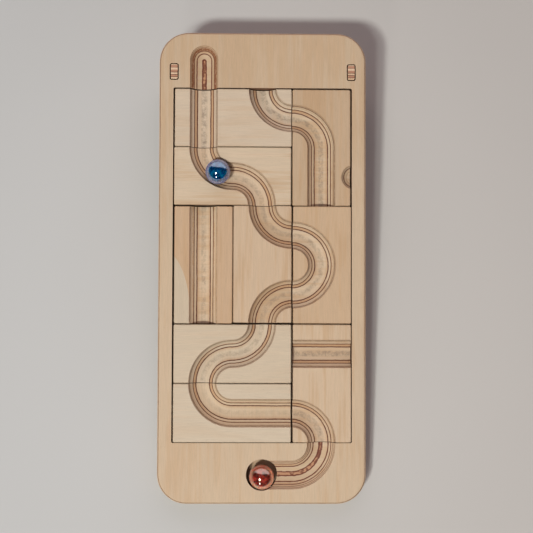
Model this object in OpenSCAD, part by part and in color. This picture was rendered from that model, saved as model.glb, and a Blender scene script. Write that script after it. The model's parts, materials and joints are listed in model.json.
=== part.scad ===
// Tile-laying marble puzzle: nine loose plywood tiles with ball-nosed tracks,
// laid out in a shallow tray that leans on a stand, and two marbles.
// Millimetres. +Z is up, +Y runs from the finish end to the raised start end.

/* [Tiles] */
// Side of the square cells that the tiles are laid out on
cell = 38; // [34:0.5:46]
// Thickness of a tile, which lies flush with the frame around it
tile_t = 12; // [10:0.5:18]
// Gap between neighbouring tiles, and between a tile and the pocket's ends
tile_gap = 0.55; // [0.4:0.05:1.2]
// Radius of a tile's upright corners
tile_corner_r = 1; // [0.5:0.25:3]
// Width of the bevel along a tile's top edges
tile_bevel = 0.4; // [0.2:0.1:1]

/* [Track] */
// Radius of the round-bottomed groove
groove_r = 9.5; // [8.5:0.25:11]
// Depth of the groove below the tile's face
groove_depth = 6.8; // [5:0.1:8]
// Straight run of the start groove, from the tiles to the centre of its closed end
start_run = 18.7; // [10:0.1:20]
// Straight run of the finish groove before it turns towards the cup
finish_run = 1.5; // [1:0.25:4]
// Diameter of the finish cup, which goes down to the base panel
cup_d = 20; // [18.5:0.5:24]
// Depth of the thumb dimple in one tile's edge
dimple_depth = 4.4; // [3:0.1:6]
// Distance from that tile's edge out to the middle of the dimple
dimple_out = 2.1; // [0:0.1:4]

/* [Tray] */
// Width of the frame's two long sides
side_w = 9.1; // [6:0.1:16]
// Length of the frame's start end, from the tiles to its outer edge
start_end = 36; // [34:0.5:50]
// Length of the frame's finish end, from the tiles to its outer edge
finish_end = 38.8; // [34:0.2:50]
// Radius of the tray's outer corners
corner_r = 19; // [8:0.5:24]
// Room to spare across the pocket, in which the tiles slide sideways
pocket_play = 0.9; // [0:0.1:2]
// Radius of the pocket's upright corners
pocket_corner_r = 1; // [0.5:0.25:3]
// Radius of the round-over along the frame's outer top edge
round_over = 2; // [0.5:0.25:4]
// Thickness of the base panel glued under the frame
base_t = 3; // [2:0.5:6]

/* [Stand] */
// Angle that the tray leans at
tilt = 7; // [4:0.5:12]
// Thickness of the stand
stand_t = 9.5; // [6:0.5:14]
// Distance from the tray's sides in to the stand's ends
stand_end_inset = 5; // [1:0.5:7]
// Distance from the start end's outer edge to the middle of the stand
stand_inset = 25.6; // [16:0.2:27]
// Distance from the tray's sides in to the middles of the tenons
tenon_inset = 9.5; // [9.5:0.1:16]
// Width of a tenon
tenon_w = 4.4; // [3:0.1:5]
// Gap all round a tenon in its slot
tenon_gap = 0.7; // [0.2:0.05:0.8]
// Radius of a slot's corners
slot_corner_r = 1.4; // [1:0.1:1.8]

/* [Marbles] */
// Diameter of both marbles
marble_d = 16; // [12:0.5:16.5]
// Gap between a marble and what it rests against
marble_gap = 0.1; // [0.05:0.05:0.3]
// How far the blue marble has rolled round its bend, in degrees
rolled = 60; // [35:1:85]

/* [Hidden] */
$fn = 96;
COLUMNS = 3;
ROWS = 6;

// Each tile: its name, the column and row of its first cell counted from the
// top left, its cells across and down, the sides that each cell's track joins
// as compass letters, and how far it has slid across and up, as shares of the room
// beside the outer columns and of the gap
TILES = [
    ["tile_start_bend",  0, 0, [2, 1], ["NS", "NE"], [0.0, -0.3]],
    ["tile_upper_s",     0, 1, [2, 1], ["NE", "WS"], [-0.25, 0.0]],
    ["tile_hook",        2, 0, [1, 2], ["WS", "NS"], [0.0, -0.6]],
    ["tile_straight",    0, 2, [1, 2], ["NS", "NS"], [0.15, -0.6]],
    ["tile_twin_bend",   1, 2, [1, 2], ["NE", "ES"], [0.1, 0.35]],
    ["tile_u_turn",      2, 2, [1, 2], ["WS", "NW"], [0.5, -0.3]],
    ["tile_lower_s",     0, 4, [2, 1], ["ES", "NW"], [0.0, -0.7]],
    ["tile_low_bend",    0, 5, [2, 1], ["NE", "WE"], [-0.1, -0.45]],
    ["tile_exit_bend",   2, 4, [1, 2], ["WE", "WS"], [0.5, -0.45]]
];

// The tile that has the dimple, and the tile that the blue marble lies on
DIMPLED = "tile_hook";
UNDER_BLUE = "tile_upper_s";

// How far a cut runs past the faces that it opens
past = 1;

// Colours of the birch plywood and of the marbles
BIRCH = [0.80, 0.66, 0.48];
PALE_BIRCH = [0.86, 0.74, 0.57];
EDGE_BIRCH = [0.70, 0.55, 0.38];
BLUE = [0.12, 0.28, 0.52];
COPPER_RED = [0.55, 0.16, 0.12];

// The cell grid, and the pocket in the frame that holds it
grid_w = COLUMNS * cell;
grid_l = ROWS * cell;
pocket_w = grid_w + tile_gap + pocket_play;
pocket_l = grid_l + tile_gap;
side_room = tile_gap + pocket_play / 2;

// The tray, on a plane through the top faces with the grid's middle at the origin
tray_w = pocket_w + 2 * side_w;
tray_t = tile_t + base_t;
start_y = pocket_l / 2 + start_end;
finish_y = -pocket_l / 2 - finish_end;
tray_l = start_y - finish_y;
tray_mid_y = (start_y + finish_y) / 2;
stand_y = start_y - stand_inset;
stand_w = tray_w - 2 * stand_end_inset;
tenon_x = tray_w / 2 - tenon_inset;

// The track: its turns run through the middles of the cells' sides
turn_r = cell / 2;
groove_axis_z = groove_r - groove_depth;
cup_y = -grid_l / 2 - finish_run - turn_r;
start_groove_x = column_x(0);
finish_groove_x = column_x(COLUMNS - 1);
cup_x = column_x(1);
marble_r = marble_d / 2;

// The tenons and their slots
slot_w = tenon_w + 2 * tenon_gap;
slot_l = stand_t + 2 * tenon_gap;
tenon_corner_r = slot_corner_r - tenon_gap;

// The part's box in Y once the tray leans, and the lift that puts its low edge at z = 0
front_y = (finish_y + round_over) * cos(tilt) + round_over * sin(tilt) - round_over;
back_y = start_y * cos(tilt) + tray_t * sin(tilt);
lift_z = tray_t * cos(tilt) - finish_y * sin(tilt);

function column_x(c) = (c - (COLUMNS - 1) / 2) * cell;
function row_y(r) = ((ROWS - 1) / 2 - r) * cell;

// Centre of a tile, with its slide in the gap
function tile_x(t) = column_x(t[1] + (t[3][0] - 1) / 2) + t[5][0] * side_room;
function tile_y(t) = row_y(t[2] + (t[3][1] - 1) / 2) + t[5][1] * tile_gap;
function tile_size(t) = [t[3][0] * cell - tile_gap, t[3][1] * cell - tile_gap];
function tile_named(name) = [for (t = TILES) if (t[0] == name) t][0];

// Centre of one of a tile's cells, from the tile's own middle
function cell_place(t, i) = [
    (i * (t[3][0] - 1) - (t[3][0] - 1) / 2) * cell,
    ((t[3][1] - 1) / 2 - i * (t[3][1] - 1)) * cell
];

// Leans what is modelled flat, and stands it on its low edge and the stand
module leaning() {
    translate([0, -(front_y + back_y) / 2, lift_z])
        rotate([tilt, 0, 0])
            children();
}

module round_rect(w, l, r) {
    square([w - 2 * r, l], center = true);
    square([w, l - 2 * r], center = true);
    for (x = [-1, 1], y = [-1, 1])
        translate([x * (w / 2 - r), y * (l / 2 - r)])
            circle(r = r);
}

module slab(w, l, r, low_z, high_z) {
    translate([0, 0, low_z])
        linear_extrude(high_z - low_z)
            round_rect(w, l, r);
}

// Outline of what a rounding cutter takes off a square edge at the origin
module edge_waste(r) {
    difference() {
        translate([-r, -r])
            square(r + past);
        translate([-r, -r])
            circle(r = r);
    }
}

// Rounds over the top edge of a slab with round corners
module round_over_cut(w, l, corner, r) {
    for (side = [-1, 1]) {
        translate([side * w / 2, 0, 0])
            mirror([side < 0 ? 1 : 0, 0, 0])
                rotate([90, 0, 0])
                    linear_extrude(l - 2 * corner, center = true)
                        edge_waste(r);
        translate([0, side * l / 2, 0])
            rotate([0, 0, side * 90])
                rotate([90, 0, 0])
                    linear_extrude(w - 2 * corner, center = true)
                        edge_waste(r);
    }
    for (x = [0, 1], y = [0, 1])
        mirror([x, 0, 0])
            mirror([0, y, 0])
                translate([w / 2 - corner, l / 2 - corner, 0])
                    rotate_extrude(angle = 90)
                        translate([corner, 0])
                            edge_waste(r);
}

// Bevels the top edges of a tile
module bevel_cut(size, bevel) {
    depth = bevel * sqrt(2);
    for (turn = [0, 90, 180, 270]) {
        reach = turn % 180 == 0 ? size[0] : size[1];
        run = turn % 180 == 0 ? size[1] : size[0];
        rotate([0, 0, turn])
            translate([reach / 2, 0, 0])
                rotate([0, 45, 0])
                    cube([depth, run + 2 * past, depth * 2], center = true);
    }
}

// Straight groove along Y, from the origin
module groove_straight(length) {
    translate([0, 0, groove_axis_z])
        rotate([-90, 0, 0])
            cylinder(r = groove_r, h = length);
}

// Quarter turn about the origin, from +X round to +Y
module groove_turn() {
    rotate_extrude(angle = 90)
        translate([turn_r, groove_axis_z])
            circle(r = groove_r);
}

// Track of one cell about its middle, named by the two sides that it joins
module cell_track(sides) {
    if (sides == "NS")
        translate([0, -turn_r, 0])
            groove_straight(cell);
    if (sides == "WE")
        translate([turn_r, 0, 0])
            rotate([0, 0, 90])
                groove_straight(cell);
    if (sides == "WS")
        translate([-turn_r, -turn_r, 0])
            groove_turn();
    if (sides == "ES")
        translate([turn_r, -turn_r, 0])
            rotate([0, 0, 90])
                groove_turn();
    if (sides == "NE")
        translate([turn_r, turn_r, 0])
            rotate([0, 0, 180])
                groove_turn();
    if (sides == "NW")
        translate([-turn_r, turn_r, 0])
            rotate([0, 0, 270])
                groove_turn();
}

module tenon_slots() {
    for (x = [-1, 1])
        translate([x * tenon_x, stand_y, 0])
            slab(slot_w, slot_l, slot_corner_r, -tray_t - past, past);
}

// Start groove, closed by a round end
module start_groove() {
    translate([start_groove_x, grid_l / 2, 0]) {
        groove_straight(start_run);
        translate([0, start_run, groove_axis_z])
            sphere(r = groove_r);
    }
}

// Finish groove: out of the last tile, a turn to the left and into the cup
module finish_groove() {
    translate([finish_groove_x, -grid_l / 2 - finish_run, 0]) {
        groove_straight(finish_run);
        translate([-turn_r, 0, 0])
            rotate([0, 0, 270])
                groove_turn();
    }
    translate([finish_groove_x - turn_r, cup_y, 0])
        rotate([0, 0, 90])
            groove_straight(finish_groove_x - turn_r - cup_x);
}

module tray_frame() {
    color(BIRCH)
        leaning()
            difference() {
                translate([0, tray_mid_y, 0])
                    difference() {
                        slab(tray_w, tray_l, corner_r, -tile_t, 0);
                        round_over_cut(tray_w, tray_l, corner_r, round_over);
                    }
                slab(pocket_w, pocket_l, pocket_corner_r, -tile_t - past, past);
                start_groove();
                finish_groove();
                translate([cup_x, cup_y, -tile_t - past])
                    cylinder(d = cup_d, h = tile_t + 2 * past);
                tenon_slots();
            }
}

module tray_base() {
    color(EDGE_BIRCH)
        leaning()
            difference() {
                translate([0, tray_mid_y, 0])
                    slab(tray_w, tray_l, corner_r, -tray_t, -tile_t);
                tenon_slots();
            }
}

// Cross board under the start end, its foot cut to sit flat while the tray leans
module tilt_stand() {
    near_y = stand_y - stand_t / 2;
    far_y = stand_y + stand_t / 2;
    color(EDGE_BIRCH)
        leaning() {
            rotate([90, 0, 90])
                linear_extrude(stand_w, center = true)
                    polygon([
                        [near_y, -tray_t],
                        [near_y, -tray_t - (near_y - finish_y) * tan(tilt)],
                        [far_y, -tray_t - (far_y - finish_y) * tan(tilt)],
                        [far_y, -tray_t]
                    ]);
            for (x = [-1, 1])
                translate([x * tenon_x, stand_y, 0])
                    slab(tenon_w, stand_t, tenon_corner_r, -tray_t - past, 0);
        }
}

module tile(t) {
    size = tile_size(t);
    color(t[3][0] > t[3][1] ? PALE_BIRCH : BIRCH)
        leaning()
            translate([tile_x(t), tile_y(t), 0])
                difference() {
                    slab(size[0], size[1], tile_corner_r, -tile_t, 0);
                    bevel_cut(size, tile_bevel);
                    for (i = [0, 1])
                        translate(cell_place(t, i))
                            cell_track(t[4][i]);
                    if (t[0] == DIMPLED)
                        translate([size[0] / 2 + dimple_out, cell_place(t, 1)[1], groove_r - dimple_depth])
                            sphere(r = groove_r);
                }
}

// Blue marble, part way round the first bend of the tile that it lies on
module marble_blue() {
    t = tile_named(UNDER_BLUE);
    bend = cell_place(t, 0) + [turn_r, turn_r];
    color(BLUE)
        leaning()
            translate([tile_x(t) + bend[0], tile_y(t) + bend[1], marble_r + marble_gap - groove_depth])
                rotate([0, 0, 180 + rolled])
                    translate([turn_r, 0, 0])
                        sphere(r = marble_r);
}

// Red marble, home in the finish cup and resting against its low side
module marble_red() {
    slack = cup_d / 2 - marble_r - marble_gap;
    color(COPPER_RED)
        leaning()
            translate([cup_x, cup_y - slack, marble_r + marble_gap - tile_t])
                sphere(r = marble_r);
}

tray_frame();
tray_base();
tilt_stand();
for (t = TILES)
    tile(t);
marble_blue();
marble_red();
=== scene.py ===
import json
import math

import bpy
from mathutils import Euler, Matrix, Vector

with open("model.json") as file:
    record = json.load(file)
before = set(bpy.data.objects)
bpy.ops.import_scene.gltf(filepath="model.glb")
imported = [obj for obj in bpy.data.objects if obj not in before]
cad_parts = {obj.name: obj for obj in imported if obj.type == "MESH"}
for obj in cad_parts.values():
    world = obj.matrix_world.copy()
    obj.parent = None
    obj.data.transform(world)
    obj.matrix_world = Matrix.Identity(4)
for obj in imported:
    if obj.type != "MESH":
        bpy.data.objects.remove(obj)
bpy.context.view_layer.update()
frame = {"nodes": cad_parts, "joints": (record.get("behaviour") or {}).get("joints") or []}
nodes = frame["nodes"]
scene = bpy.context.scene
mm = 0.001
print("frame loaded:", len(nodes), "nodes")

# The tray leans, so the camera and the grain are set out on its face:
# X across it, Y up towards the start, Z out of it, from the middle of the face.
faceOut = Vector(next(joint["axis"] for joint in frame["joints"] if joint["name"] == "straight_lift"))
lean = math.atan2(-faceOut.y, faceOut.z)
faceAxes = Matrix.Rotation(lean, 3, "X")


def reach(node):
    # lowest and highest corner of a node along the face's axes
    points = [faceAxes.transposed() @ vertex.co for vertex in nodes[node].data.vertices]
    low = Vector([min(point[i] for point in points) for i in range(3)])
    high = Vector([max(point[i] for point in points) for i in range(3)])
    return low, high


trayLow, trayHigh = reach("tray_frame")
faceMiddle = Vector(((trayLow.x + trayHigh.x) / 2, (trayLow.y + trayHigh.y) / 2, trayHigh.z))


def onFace(place):
    # a place in millimetres from the middle of the face, as a point of the frame
    return faceAxes @ (faceMiddle + Vector(place) * mm)


def shade(red, green, blue):
    # a screen colour as the linear one that a socket takes
    linear = [((channel / 255 + 0.055) / 1.055) ** 2.4 for channel in (red, green, blue)]
    return (*linear, 1)


class Wire:
    # a socket that can be used in sums: each sum adds a Math node
    def __init__(self, finish, socket):
        self.finish = finish
        self.socket = socket

    def pick(self, output):
        return Wire(self.finish, self.socket.node.outputs[output])

    def __add__(self, other):
        return self.finish.maths("ADD", self, other)

    def __radd__(self, other):
        return self.finish.maths("ADD", other, self)

    def __sub__(self, other):
        return self.finish.maths("SUBTRACT", self, other)

    def __rsub__(self, other):
        return self.finish.maths("SUBTRACT", other, self)

    def __mul__(self, other):
        return self.finish.maths("MULTIPLY", self, other)

    def __rmul__(self, other):
        return self.finish.maths("MULTIPLY", other, self)

    def __truediv__(self, other):
        return self.finish.maths("DIVIDE", self, other)

    def __rtruediv__(self, other):
        return self.finish.maths("DIVIDE", other, self)


class Finish:
    # the nodes of one material, or of the world
    def __init__(self, owner):
        self.owner = owner
        owner.use_nodes = True
        self.tree = owner.node_tree
        self.tree.nodes.clear()

    def node(self, kind, settings, sockets, output=0):
        made = self.tree.nodes.new(kind)
        for name, value in settings.items():
            setattr(made, name, value)
        for name, value in sockets.items():
            if isinstance(value, Wire):
                self.tree.links.new(value.socket, made.inputs[name])
            else:
                made.inputs[name].default_value = value
        return None if output is None else Wire(self, made.outputs[output])

    def maths(self, operation, first, second=0.0):
        return self.node("ShaderNodeMath", {"operation": operation}, {0: first, 1: second})

    def smooth(self, value, low, high):
        # 0 below low, 1 above high, eased between them
        sockets = {"Value": value, "From Min": low, "From Max": high}
        return self.node("ShaderNodeMapRange", {"interpolation_type": "SMOOTHSTEP"}, sockets)

    def fade(self, value, low, high):
        return 1 - self.smooth(value, low, high)

    def band(self, value, rise, fall):
        return self.smooth(value, *rise) * self.fade(value, *fall)

    def place(self, x, y, z):
        return self.node("ShaderNodeCombineXYZ", {}, {"X": x, "Y": y, "Z": z})

    def noise(self, where, detail=2.0, roughness=0.5):
        sockets = {"Vector": where, "Scale": 1.0, "Detail": detail, "Roughness": roughness}
        return self.node("ShaderNodeTexNoise", {}, sockets)

    def mix(self, share, first, second):
        # colours: inputs 6 and 7 and output 2 are the Mix node's colour sockets
        return self.node("ShaderNodeMix", {"data_type": "RGBA"}, {0: share, 6: first, 7: second}, 2)

    def scale(self, colour, by):
        return self.node("ShaderNodeVectorMath", {"operation": "SCALE"}, {0: colour, "Scale": by})

    def bump(self, height, strength, distance):
        sockets = {"Strength": strength, "Distance": distance, "Height": height}
        return self.node("ShaderNodeBump", {}, sockets)

    def surface(self, sockets):
        shader = self.node("ShaderNodeBsdfPrincipled", {}, sockets)
        self.node("ShaderNodeOutputMaterial", {}, {"Surface": shader}, None)


# Birch plywood, as a solid: plies stacked behind the face, each turned across the last,
# so that a groove cut into it shows their edges and the glue between them.
plyLook = {
    "pitch": 1.24,  # mm from one glue line to the next
    "facePly": 0.8,  # mm of the sanded face ply
    "ripple": 0.25,  # mm that a ply wanders in depth
    "warm": (190, 152, 112),  # the streaks in the face
    "figure": 0.55,  # how strongly they show
    "paintedStartShade": 0.0,  # how much darker and warmer the face is towards the start end: painted shade, where less of the lamps' light falls
    "cut": (190, 149, 111),  # where the cut meets a ply's grain end on
    "cutFrom": 4.2,  # mm of depth below which end grain shows its colour
    "cutFacing": (0.15, 0.6),  # how end on the cut must be, to begin and to show in full
    "core": (176, 138, 104),  # level cuts below the sixth glue line
    "glue": (94, 50, 32),
    "glueWidth": 0.21,  # mm, half of a glue line
    "shallowGlue": 0.5,  # how much of it shows on the second line from the face
    "rimGlue": 0.3,  # share of that on the lines to either side
    "scorch": 0.4,  # how brown the cutter left the walls of a groove
    "finishScorch": 1.0,  # share of that at the finish end
    "scorched": (0.9, 2.7),  # mm of depth that this reaches over
    "scorchBrown": (104, 68, 48),
    "paintedWallLight": 0.12,  # how much paler the steep cuts are than the face: painted light that lifts the shade on the groove walls
    "paintedGapShade": 0.65,  # how much darker the upright sides are, inside the tray: painted shade in the gaps between the tiles and in the cup
    "paintedEdgeShade": 0.3,  # how much darker the eased edges beside the gaps are: painted shade that makes the gaps look wider and darker
    "rub": 0.62,  # mark that rolling marbles leave along the bottom of a groove
    "rubReach": 0.26,  # mm above the bottom that it reaches up to
    "rubBrown": (128, 110, 94),
    "grain": "Y",  # the way that the face ply runs
    "stack": "Z",  # the way that the plies lie on each other
    "top": 0.0,  # mm along the stack at which the face lies
}
grooveDepth = 6.8  # mm

# The noises in it: how fast each changes per mm, along and across the grain
patterns = {
    "ripple": {"rate": (0.04, 0.09)},
    "quiver": {"rate": (0.35, 0.5), "apart": 4},
    "fibre": {"rate": (0.12, 2.4), "noise": {"detail": 3.0}},
    "streak": {"rate": (0.011, 0.33), "noise": {"detail": 3.0, "roughness": 0.6}},
    "cloud": {"rate": (0.02, 0.05)},
    "rings": {"rate": (0.005, 0.028), "apart": 2, "noise": {"detail": 1.0}},
    "fleck": {"rate": (0.5, 4)},
    "blotch": {"rate": (0.4, 0.4)},
    "speck": {"rate": (0.8, 0.8)},
    "smudge": {"rate": (0.25, 0.3), "apart": 6, "noise": {"detail": 5.0, "roughness": 0.8}},
}
noiseMiddle = 0.5
grainLook = {
    "quiver": 0.6,  # its height, as a share of the ripple's
    "plyStep": 7.3,  # how far on the pattern is, from one ply to the next
    "fibreDrift": 0.4,  # how far on it is, for each mm of depth
    "ringCount": 70,
    "fleckEdge": (0.62, 0.74),
    "tone": {"fibre": 0.26, "streak": 0.16, "fleck": 0.12},
    "warmth": {"streak": 2.0, "cloud": 1.6, "rings": 0.1, "plain": 0.12},
    "warmEdge": (-0.05, 0.6),
    "paintedStartReach": (20, 150),  # mm up the face, where the painted shade towards the start end begins and is full
    "roughness": 0.6,
    "roughSwing": 0.2,
    "specular": 0.3,
    "relief": 0.25,
    "reliefHeight": 0.1 * mm,
    "reliefFleck": 0.6,
}

# Where the marks, and the painted shade and light, begin and are full. Steepness is 0 on the face and 1 on
# an upright side, depths are in mm, and a mark that ends again has a second pair.
marksAndShadeLook = {
    "clearEdge": (4.5, 3.0),  # mm in from the tray's outer edges, which have neither marks nor painted shade and light
    # steepness where the painted shade of the gaps and the cup begins and is full
    "paintedGapShadeSteep": (0.8, 0.95),
    # steepness where the painted light on the groove walls begins and is full
    "paintedWallLightSteep": (0.15, 0.5),
    # steepness of the eased edges that carry the painted shade beside the gaps
    "brokenSteep": ((0.18, 0.25), (0.34, 0.42)),
    "brokenDepth": (0.42, 0.5),
    "underPly": (-0.9, -0.1),  # counted in plies, the face ply being -1
    "corePly": (4.0, 4.8),
    "coreSteep": (0.3, 0.5),
    "coreBlotch": (0.44, 0.58),
    "coreGlue": 0.8,
    "cutFade": (-0.5, 0.4),  # above and below cutFrom
    "cutShare": 0.9,
    "glueSlope": 0.55,  # a cut less steep than this shows a finer line
    "glueLeast": 0.02,
    "glueEdge": (0.6, 0.8),  # shares of its width
    "glueShare": (0.8, 0.4),  # everywhere, and more where it is blotched
    "secondLine": ((1.3, 1.8), (2.4, 2.8)),
    "deepLines": (3.5, 4.1),
    "scorchSoft": 0.3,
    "scorchWave": 0.3,
    "scorchSteep": (0.1, 0.3),
    "scorchBlotch": 0.4,
    "scorchPatchy": (0.3, 0.8),
    "scorchEnds": (-40, 40),  # mm up the face
    "rubWave": 0.1,
    "rubFull": 0.02,  # mm above the bottom of a groove
    "rubSmudge": (0.34, 0.74),
}
# how far from the middle of the face the marks and the painted shade and light begin to fade, and are gone
halfTray = (trayHigh - trayLow) / 2 / mm
innerX, innerY = [[half - clear for clear in marksAndShadeLook["clearEdge"]] for half in (halfTray.x, halfTray.y)]


def onBoard(wood):
    # a point's place in mm, and the way that its surface faces, along the face's axes
    axes = wood.node("ShaderNodeTexCoord", {}, {}, "Object")
    toFace = {
        "Location": -faceMiddle / mm,
        "Rotation": (-lean, 0, 0),
        "Scale": (1 / mm, 1 / mm, 1 / mm),
    }
    spot = wood.node("ShaderNodeMapping", {"vector_type": "POINT"}, {"Vector": axes, **toFace})
    spot = wood.node("ShaderNodeSeparateXYZ", {}, {"Vector": spot})
    turned = {"Vector": axes.pick("Normal"), "Rotation": (-lean, 0, 0)}
    facing = wood.node("ShaderNodeMapping", {"vector_type": "VECTOR"}, turned)
    facing = wood.node("ShaderNodeSeparateXYZ", {}, {"Vector": facing})
    return spot, facing


def pattern(wood, kind, lengthways, sideways, layer):
    # one of the noises, fresh for each layer
    look = patterns[kind]
    if "apart" in look:
        layer = layer + look["apart"]
    where = wood.place(lengthways * look["rate"][0], sideways * look["rate"][1], layer)
    return wood.noise(where, **look.get("noise", {}))


def glueShown(wood, look, depth, steep, toGlue, blotch):
    # the edges of the glue lines, which are full only in the lower half of a groove
    slope = wood.maths("SQRT", steep * (2 - steep))  # sine of the cut's angle to the face
    width = wood.maths("MINIMUM", slope / marksAndShadeLook["glueSlope"] + marksAndShadeLook["glueLeast"], 1.0)
    width = look["glueWidth"] * width
    sharp, soft = marksAndShadeLook["glueEdge"]
    line = wood.fade(toGlue, width * sharp, width * (soft + blotch))
    second = wood.band(depth, *marksAndShadeLook["secondLine"])
    upper = (look["rimGlue"] + second * (1 - look["rimGlue"])) * look["shallowGlue"]
    line = line * wood.maths("MAXIMUM", upper, wood.smooth(depth, *marksAndShadeLook["deepLines"]))
    everywhere, blotched = marksAndShadeLook["glueShare"]
    return line * (everywhere + blotch * blotched)


def scorchShown(wood, look, upFace, depth, steep, patchy):
    # a band of brown along the walls
    soft = marksAndShadeLook["scorchSoft"]
    rise, fall = [(edge - soft, edge + soft) for edge in look["scorched"]]
    brown = wood.band(depth, rise, fall) * wood.smooth(steep, *marksAndShadeLook["scorchSteep"])
    brown = brown * wood.smooth(patchy, *marksAndShadeLook["scorchPatchy"])
    towardsStart = wood.smooth(upFace, *marksAndShadeLook["scorchEnds"])
    share = look["finishScorch"] + towardsStart * (1 - look["finishScorch"])
    return brown * share * look["scorch"]


def patched(wood, patch, spot, timber):
    # a veneer repair let into the face, with a clean round edge
    outX = (spot.pick("X") - patch["middle"][0]) / patch["radii"][0]
    outY = (spot.pick("Y") - patch["middle"][1]) / patch["radii"][1]
    out = wood.maths("SQRT", outX * outX + outY * outY)
    repair = wood.fade(out, *patch["edge"]) * wood.smooth(spot.pick("Z"), *patch["bottom"])
    return wood.mix(repair, timber, shade(*patch["face"]))


def plywood(name, changes):
    look = {**plyLook, **changes}
    wood = Finish(bpy.data.materials.new(name))
    spot, facing = onBoard(wood)
    grain, stack = look["grain"], look["stack"]
    side = next(axis for axis in "XYZ" if axis not in (grain, stack))
    along, across = spot.pick(grain), spot.pick(side)
    depth = look["top"] - spot.pick(stack)
    steep = 1 - wood.maths("ABSOLUTE", facing.pick(stack))
    inside = wood.fade(wood.maths("ABSOLUTE", spot.pick("X")), *innerX)
    inside = inside * wood.fade(wood.maths("ABSOLUTE", spot.pick("Y")), *innerY)
    seed = look["seed"]

    # which ply this is, and how far it is from the glue
    ripple = pattern(wood, "ripple", along, across, seed) - noiseMiddle
    quiver = pattern(wood, "quiver", along, across, seed) - noiseMiddle
    layer = depth + (ripple + quiver * grainLook["quiver"]) * look["ripple"]
    layer = (layer - look["facePly"]) / look["pitch"]
    index = wood.maths("FLOOR", layer)
    within = layer - index
    straight = wood.maths("FLOORED_MODULO", index, 2.0)  # 1 on plies that run with the face
    crossed = 1 - straight
    toGlue = wood.maths("MINIMUM", within, 1 - within) * look["pitch"]

    # the grain of that ply
    lengthways = along * straight + across * crossed
    sideways = across * straight + along * crossed
    shift = index * grainLook["plyStep"] + seed
    fibre = pattern(wood, "fibre", lengthways, sideways, shift + depth * grainLook["fibreDrift"])
    fibre = fibre - noiseMiddle
    streak = pattern(wood, "streak", lengthways, sideways, shift) - noiseMiddle
    cloud = pattern(wood, "cloud", lengthways, sideways, shift) - noiseMiddle
    rings = pattern(wood, "rings", lengthways, sideways, shift)
    rings = wood.maths("SINE", rings * grainLook["ringCount"])
    fleck = wood.smooth(pattern(wood, "fleck", lengthways, sideways, shift), *grainLook["fleckEdge"])
    blotch = pattern(wood, "blotch", along, across, shift + depth)
    speck = pattern(wood, "speck", along, across, seed + depth)
    smudge = pattern(wood, "smudge", along, across, seed)

    # how dark it is: its fibres; then paler on steep cuts, painted light that lifts the shade on the groove
    # walls; then darker on the upright sides inside the tray and on the eased edges beside the gaps,
    # painted shade in the gaps and the cup
    share = grainLook["tone"]
    tone = 1 + fibre * share["fibre"] + streak * share["streak"] - fleck * share["fleck"]
    # painted light: steep cuts paler, lifting the shade on the groove walls
    tone = tone * (1 + wood.smooth(steep, *marksAndShadeLook["paintedWallLightSteep"]) * look["paintedWallLight"])
    # painted shade: the upright sides inside the tray darker, in the gaps between the tiles and in the cup
    tone = tone * (1 - wood.smooth(steep, *marksAndShadeLook["paintedGapShadeSteep"]) * inside * look["paintedGapShade"])
    # painted shade: the eased edges beside the gaps darker, so that the gaps look wider and darker
    broken = wood.band(steep, *marksAndShadeLook["brokenSteep"]) * wood.fade(depth, *marksAndShadeLook["brokenDepth"])
    tone = tone * (1 - broken * inside * look["paintedEdgeShade"])

    # its colour: streaks of warmth, painted shade towards the start end, end grain, and the core under it
    # all
    share = grainLook["warmth"]
    warmth = streak * share["streak"] + cloud * share["cloud"] + rings * share["rings"] + share["plain"]
    # painted shade: darker and warmer towards the start end, where less of the lamps' light falls
    warmth = warmth + wood.smooth(spot.pick("Y"), *grainLook["paintedStartReach"]) * look["paintedStartShade"]
    warmth = wood.smooth(warmth, *grainLook["warmEdge"])
    face, under = shade(*look["face"]), shade(*look.get("under", look["face"]))
    timber = wood.mix(wood.smooth(index, *marksAndShadeLook["underPly"]), face, under)
    timber = wood.mix(warmth * look["figure"], timber, shade(*look["warm"]))
    endOn = wood.maths("ABSOLUTE", facing.pick(grain)) * straight
    endOn = endOn + wood.maths("ABSOLUTE", facing.pick(side)) * crossed
    cutDepth = [look["cutFrom"] + fade for fade in marksAndShadeLook["cutFade"]]
    endOn = wood.smooth(endOn, *look["cutFacing"]) * wood.smooth(depth, *cutDepth)
    timber = wood.mix(endOn * marksAndShadeLook["cutShare"], timber, shade(*look["cut"]))
    if "patch" in look:
        timber = patched(wood, look["patch"], spot, timber)
    glue = shade(*look["glue"])
    core = wood.smooth(index, *marksAndShadeLook["corePly"]) * wood.fade(steep, *marksAndShadeLook["coreSteep"])
    timber = wood.mix(core, timber, shade(*look["core"]))
    core = core * wood.smooth(blotch, *marksAndShadeLook["coreBlotch"])
    timber = wood.mix(core * marksAndShadeLook["coreGlue"], timber, glue)
    timber = wood.scale(timber, tone)

    # marks of the cutter and of the marbles
    timber = wood.mix(glueShown(wood, look, depth, steep, toGlue, blotch), timber, glue)
    wavyDepth = depth + quiver * marksAndShadeLook["scorchWave"]
    patchy = speck + blotch * marksAndShadeLook["scorchBlotch"]
    scorched = scorchShown(wood, look, spot.pick("Y"), wavyDepth, steep, patchy) * inside
    timber = wood.mix(scorched, timber, shade(*look["scorchBrown"]))
    rubDepth = [grooveDepth - above for above in (look["rubReach"], marksAndShadeLook["rubFull"])]
    rub = wood.smooth(depth + quiver * marksAndShadeLook["rubWave"], *rubDepth)
    rub = rub * wood.smooth(smudge, *marksAndShadeLook["rubSmudge"])
    timber = wood.mix(rub * look["rub"], timber, shade(*look["rubBrown"]))

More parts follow.
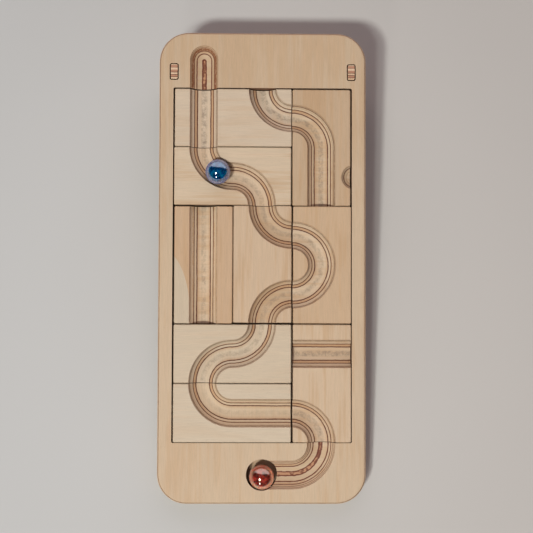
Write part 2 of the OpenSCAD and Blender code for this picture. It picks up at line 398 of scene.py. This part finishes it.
    relief = fibre - fleck * grainLook["reliefFleck"]
    wood.surface({
        "Base Color": timber,
        "Roughness": grainLook["roughness"] + fibre * grainLook["roughSwing"],
        "Specular IOR Level": grainLook["specular"],
        "Normal": wood.bump(relief, grainLook["relief"], grainLook["reliefHeight"]),
    })
    return wood.owner


def dress(node, material):
    slots = nodes[node].data.materials
    slots.clear()
    slots.append(material)


# Each tile's own board. Under is the colour below its face ply, where that differs.
tileLooks = {
    "tile_start_bend": {
        "grain": "X",
        "figure": 0.25,
        "rub": 0.9,
        "rubReach": 0.36,
        "face": (210, 189, 163),
        "seed": 11.0,
    },
    "tile_upper_s": {"grain": "X", "face": (212, 189, 160), "under": (210, 184, 154), "seed": 23.0},
    "tile_hook": {
        "face": (198, 169, 137),
        "under": (208, 183, 152),
        "shallowGlue": 1.0,
        "rub": 0.8,
        "seed": 37.0,
    },
    "tile_straight": {
        "face": (202, 169, 135),
        "under": (212, 187, 156),
        "paintedWallLight": 0.2,
        "scorch": 0.15,
        "seed": 41.0,
        "patch": {
            "middle": (-63.0, -34.0),
            "radii": (17.0, 43.5),
            "edge": (0.993, 1.007),  # shares of the radii
            "bottom": (-0.8, -0.6),  # mm from the face
            "face": (202, 182, 155),
        },
    },
    "tile_twin_bend": {"face": (207, 179, 148), "under": (199, 171, 139), "seed": 59.0},
    "tile_u_turn": {"face": (203, 172, 138), "under": (210, 185, 155), "seed": 61.0},
    "tile_lower_s": {"grain": "X", "figure": 0.15, "face": (207, 187, 160), "seed": 73.0},
    "tile_low_bend": {
        "grain": "X",
        "figure": 0.2,
        "rub": 0.3,
        "face": (208, 189, 163),
        "under": (208, 183, 152),
        "seed": 89.0,
    },
    "tile_exit_bend": {
        "face": (209, 182, 151),
        "under": (206, 179, 149),
        "rub": 0.85,
        "rubReach": 0.32,
        "seed": 97.0,
    },
}
for node, changes in tileLooks.items():
    dress(node, plywood(node + "_birch", changes))
print("tiles finished:", len(tileLooks))

trayLook = {
    "frame": {
        "face": (205, 179, 148),
        "paintedStartShade": 0.4,
        "figure": 0.4,
        "facePly": 0.53,
        "ripple": 0.2,
        "cut": (192, 148, 108),
        "cutFacing": (0.5, 0.75),
        "core": (188, 139, 103),
        "glue": (108, 54, 36),
        "shallowGlue": 0.8,
        "rimGlue": 0.9,
        "scorch": 0.9,
        "finishScorch": 0.12,
        "scorched": (2.3, 4.1),
        "scorchBrown": (138, 84, 52),
        "paintedWallLight": 0.2,
        "rub": 0.0,
        "seed": 5.0,
    },
    "base": {
        "face": (198, 168, 136),
        "pitch": 1.1,
        "scorch": 0.0,
        "paintedGapShade": 0.0,
        "rub": 0.0,
        "seed": 7.0,
    },
    "stand": {
        "face": (214, 182, 150),
        "cut": (172, 120, 94),
        "cutFrom": 0.0,
        "facePly": 0.55,
        "pitch": 1.53,
        "grain": "X",
        "stack": "Y",
        "scorch": 0.0,
        "paintedGapShade": 0.0,
        "rub": 0.0,
        "seed": 9.0,
    },
}
baseTop = (reach("tray_base")[1] - faceMiddle).z / mm
standBack = (reach("tilt_stand")[1] - faceMiddle).y / mm
dress("tray_frame", plywood("frame_birch", trayLook["frame"]))
dress("tray_base", plywood("base_birch", {**trayLook["base"], "top": baseTop}))
dress("tilt_stand", plywood("stand_birch", {**trayLook["stand"], "top": standBack}))
print("tray and stand finished")

# Glass marbles with a fired lustre: a body colour under a film that mirrors the room, and a paler rim where
# the surface is seen edge on, which is a painted reflection of the wood around them.
lustreLook = {
    "swirl": 0.36,  # how fast its colour changes per mm
    "swirlEdge": (0.38, 0.66),
    "wave": 0.16,  # the same for the slow waves of its surface
    "waveHeight": 0.08 * mm,
    "film": 1.4,  # and for its fine haze
    "roughness": 0.05,
    "filmRoughness": 0.05,
    "rimBlend": 0.5,
    "rimFrom": (0.3, 0.55),  # how edge on the surface is where the painted rim reflection begins, and is full
    "milky": 0.8,  # how much light goes a little way in
    "milkyReach": 6 * mm,
    "sheenRoughness": 0.35,
}
marbleLooks = {
    "marble_blue": {
        "deep": (0, 62, 106),
        "light": (0, 108, 152),
        # rim: a painted reflection, the colour seen where the marble is edge on
        "rim": (112, 122, 165),
        "sheen": 0.2,
        "sheenTint": (0.8, 0.8, 1.0, 1),
        "through": (0.4, 0.6, 1.0),  # how far each colour goes in
        "mirror": 3.2,  # the film's index of refraction
        "shift": (0.0, 0.0, 0.0),  # mm that its swirls are moved by
        "tint": (0.88, 0.91, 1.0, 1),
    },
    "marble_red": {
        "deep": (98, 41, 34),
        "light": (186, 69, 55),
        # rim: a painted reflection, the colour seen where the marble is edge on
        "rim": (250, 180, 150),
        "sheen": 0.9,
        "sheenTint": (1.0, 0.5, 0.34, 1),
        "through": (1.0, 0.35, 0.25),
        "mirror": 3.4,
        "shift": (0.0, 7.0, 0.0),
        "tint": (1.0, 0.84, 0.7, 1),
    },
}


def lustre(name, look):
    glass = Finish(bpy.data.materials.new(name))
    axes = glass.node("ShaderNodeTexCoord", {}, {}, "Object")
    spot = glass.scale(axes, 1 / mm)
    spot = glass.node("ShaderNodeVectorMath", {"operation": "ADD"}, {0: spot, 1: look["shift"]})
    swirl = glass.noise(glass.scale(spot, lustreLook["swirl"]), detail=3.0)
    wave = glass.noise(glass.scale(spot, lustreLook["wave"]), detail=0.0)
    film = glass.noise(glass.scale(spot, lustreLook["film"]))
    swirl = glass.smooth(swirl, *lustreLook["swirlEdge"])
    body = glass.mix(swirl, shade(*look["deep"]), shade(*look["light"]))
    # painted reflection: the base colour turns to the rim colour where the surface is seen edge on
    paintedRimShare = glass.node("ShaderNodeLayerWeight", {}, {"Blend": lustreLook["rimBlend"]}, "Facing")
    paintedRimShare = glass.smooth(paintedRimShare, *lustreLook["rimFrom"])
    glass.surface({
        "Base Color": glass.mix(paintedRimShare, body, shade(*look["rim"])),
        "Subsurface Weight": lustreLook["milky"],
        "Subsurface Radius": look["through"],
        "Subsurface Scale": lustreLook["milkyReach"],
        "Roughness": lustreLook["roughness"] + film * lustreLook["filmRoughness"],
        "IOR": look["mirror"],
        "Specular Tint": look["tint"],
        "Sheen Weight": look["sheen"],
        "Sheen Roughness": lustreLook["sheenRoughness"],
        "Sheen Tint": look["sheenTint"],
        "Normal": glass.bump(wave, 1.0, lustreLook["waveHeight"]),
    })
    return glass.owner


for node, look in marbleLooks.items():
    dress(node, lustre(node + "_lustre", look))
print("marbles finished:", len(marbleLooks))

# Floor, in metres, with a painted tint of the light that is warmer to the right, and painted shade a little
# way off. Far off it fades into one plain colour, for the camera alone.
floorLook = {
    "size": 24.0,
    # left and right: a painted tint of the light, cooler on the left and warmer on the right
    "left": (199, 198, 194),
    "right": (198, 193, 186),
    "sides": (-0.2, 0.2),
    "mottle": 0.06,
    "mottleRate": 3.0,
    "paintedFalloff": 0.045,  # painted shade: how much darker it is a little way off, where the light falls off towards the corners
    "paintedFalloffFrom": (0.13, 0.25),
    "roughness": 0.85,
    "mottleRoughness": 0.1,
    "specular": 0.15,
    "far": (196, 192, 187),
    "fade": (0.7, 2.5),
}
bpy.ops.mesh.primitive_plane_add(size=floorLook["size"])
floor = bpy.context.object
floor.name = "floor"
paper = Finish(bpy.data.materials.new("floor_paper"))
paperSpot = paper.node("ShaderNodeTexCoord", {}, {}, "Object")
mottle = paper.noise(paper.scale(paperSpot, floorLook["mottleRate"]), detail=3.0)
toRight = paper.node("ShaderNodeSeparateXYZ", {}, {"Vector": paperSpot}, "X")
toRight = paper.smooth(toRight, *floorLook["sides"])
# painted tint of the light, from the left to the right
plain = paper.mix(toRight, shade(*floorLook["left"]), shade(*floorLook["right"]))
away = paper.node("ShaderNodeVectorMath", {"operation": "LENGTH"}, {0: paperSpot}, "Value")
# painted shade: darker a little way off, as the light falls off towards the corners
paintedFalloff = paper.smooth(away, *floorLook["paintedFalloffFrom"]) * floorLook["paintedFalloff"]
tone = 1 + (mottle - noiseMiddle) * floorLook["mottle"] - paintedFalloff
lit = paper.node("ShaderNodeBsdfPrincipled", {}, {
    "Base Color": paper.scale(plain, tone),
    "Roughness": floorLook["roughness"] + mottle * floorLook["mottleRoughness"],
    "Specular IOR Level": floorLook["specular"],
})
far = paper.node("ShaderNodeEmission", {}, {"Color": shade(*floorLook["far"]), "Strength": 1.0})
seen = paper.node("ShaderNodeLightPath", {}, {}, "Is Camera Ray")
blend = paper.smooth(away, *floorLook["fade"]) * seen
blend = paper.node("ShaderNodeMixShader", {}, {0: blend, 1: lit, 2: far})
paper.node("ShaderNodeOutputMaterial", {}, {"Surface": blend}, None)
floor.data.materials.append(paper.owner)

# Lamps: two side by side over the left, and a faint one low beyond the finish end.
# Their places are in mm from the middle of the face, their sizes in metres.
lampLooks = {
    "key": {"place": (-883, -911, 2500), "across": 0.25, "power": 42.0, "colour": (0.935, 0.975, 0.96)},
    "side": {"place": (-591, -911, 2500), "across": 0.22, "power": 14.7, "colour": (0.935, 0.975, 0.96)},
    "low": {"place": (-451, -1630, 1067), "across": 0.18, "power": 3.2, "colour": (1.0, 1.0, 1.0)},
}


def lamp(name, look):
    light = bpy.data.lights.new(name, "AREA")
    light.shape = "DISK"
    light.size = look["across"]
    light.energy = look["power"]
    light.color = look["colour"]
    made = bpy.data.objects.new(name, light)
    made.location = onFace(look["place"])
    made.rotation_mode = "QUATERNION"
    made.rotation_quaternion = (made.location - onFace((0, 0, 0))).to_track_quat("Z", "Y")
    scene.collection.objects.link(made)


for name, look in lampLooks.items():
    lamp(name, look)

# The room: a pale wall beyond the start end and soft light from above. Reflections show the wall alone.
roomLook = {
    "colour": (1.0, 0.86, 0.92, 1),
    "wall": 0.75,
    "wallEdge": (0.42, 0.56),  # how far towards +Y its light begins, and is full
    "skirt": 0.4,  # how ragged the wall's lower edge is
    "skirtRate": 3.0,
    "slant": 0.15,
    "overhead": 0.3,
    "overheadEdge": (0.55, 0.95),  # how far up its light begins, and is full
    "dim": 0.05,  # light from all round
    "mirroredColour": (0.88, 0.92, 1.0, 1),
    "mirrored": 1.15,  # strength of the wall in reflections
}
room = bpy.data.worlds.new("room")
scene.world = room
air = Finish(room)
outward = air.node("ShaderNodeTexCoord", {}, {}, "Generated")
skirt = air.noise(air.scale(outward, roomLook["skirtRate"])) - noiseMiddle
outward = air.node("ShaderNodeSeparateXYZ", {}, {"Vector": outward})
wall = outward.pick("Y") + outward.pick("X") * roomLook["slant"] + skirt * roomLook["skirt"]
wall = air.smooth(wall, *roomLook["wallEdge"])
above = air.smooth(outward.pick("Z"), *roomLook["overheadEdge"])
glow = wall * roomLook["wall"] + above * roomLook["overhead"] + roomLook["dim"]
lighting = air.node("ShaderNodeBackground", {}, {"Color": roomLook["colour"], "Strength": glow})
glow = wall * roomLook["mirrored"]
mirrored = air.node("ShaderNodeBackground", {}, {"Color": roomLook["mirroredColour"], "Strength": glow})
backdrop = air.node("ShaderNodeBackground", {}, {"Color": shade(*floorLook["far"]), "Strength": 1.0})
path = air.node("ShaderNodeLightPath", {}, {}, "Is Glossy Ray")
back = air.node("ShaderNodeMixShader", {}, {0: path, 1: lighting, 2: mirrored})
back = air.node("ShaderNodeMixShader", {}, {0: path.pick("Is Camera Ray"), 1: back, 2: backdrop})
air.node("ShaderNodeOutputWorld", {}, {"Surface": back}, None)
print("floor and light set")

# Camera, over the face and a little off square to it
cameraLook = {
    "lens": 79.93,  # mm, on a sensor 36 mm wide
    "eye": (-10.73, -33.05, 760.0),  # mm from the middle of the face
    "turn": (-2.494, 1.015, -0.222),  # degrees
}
camera = bpy.data.objects.new("camera", bpy.data.cameras.new("camera"))
camera.data.lens = cameraLook["lens"]
turn = Euler([math.radians(angle) for angle in cameraLook["turn"]], "XYZ").to_matrix()
camera.matrix_world = Matrix.LocRotScale(onFace(cameraLook["eye"]), faceAxes @ turn.transposed(), None)
scene.collection.objects.link(camera)
scene.camera = camera
scene.view_settings.view_transform = "Standard"
print("camera set")
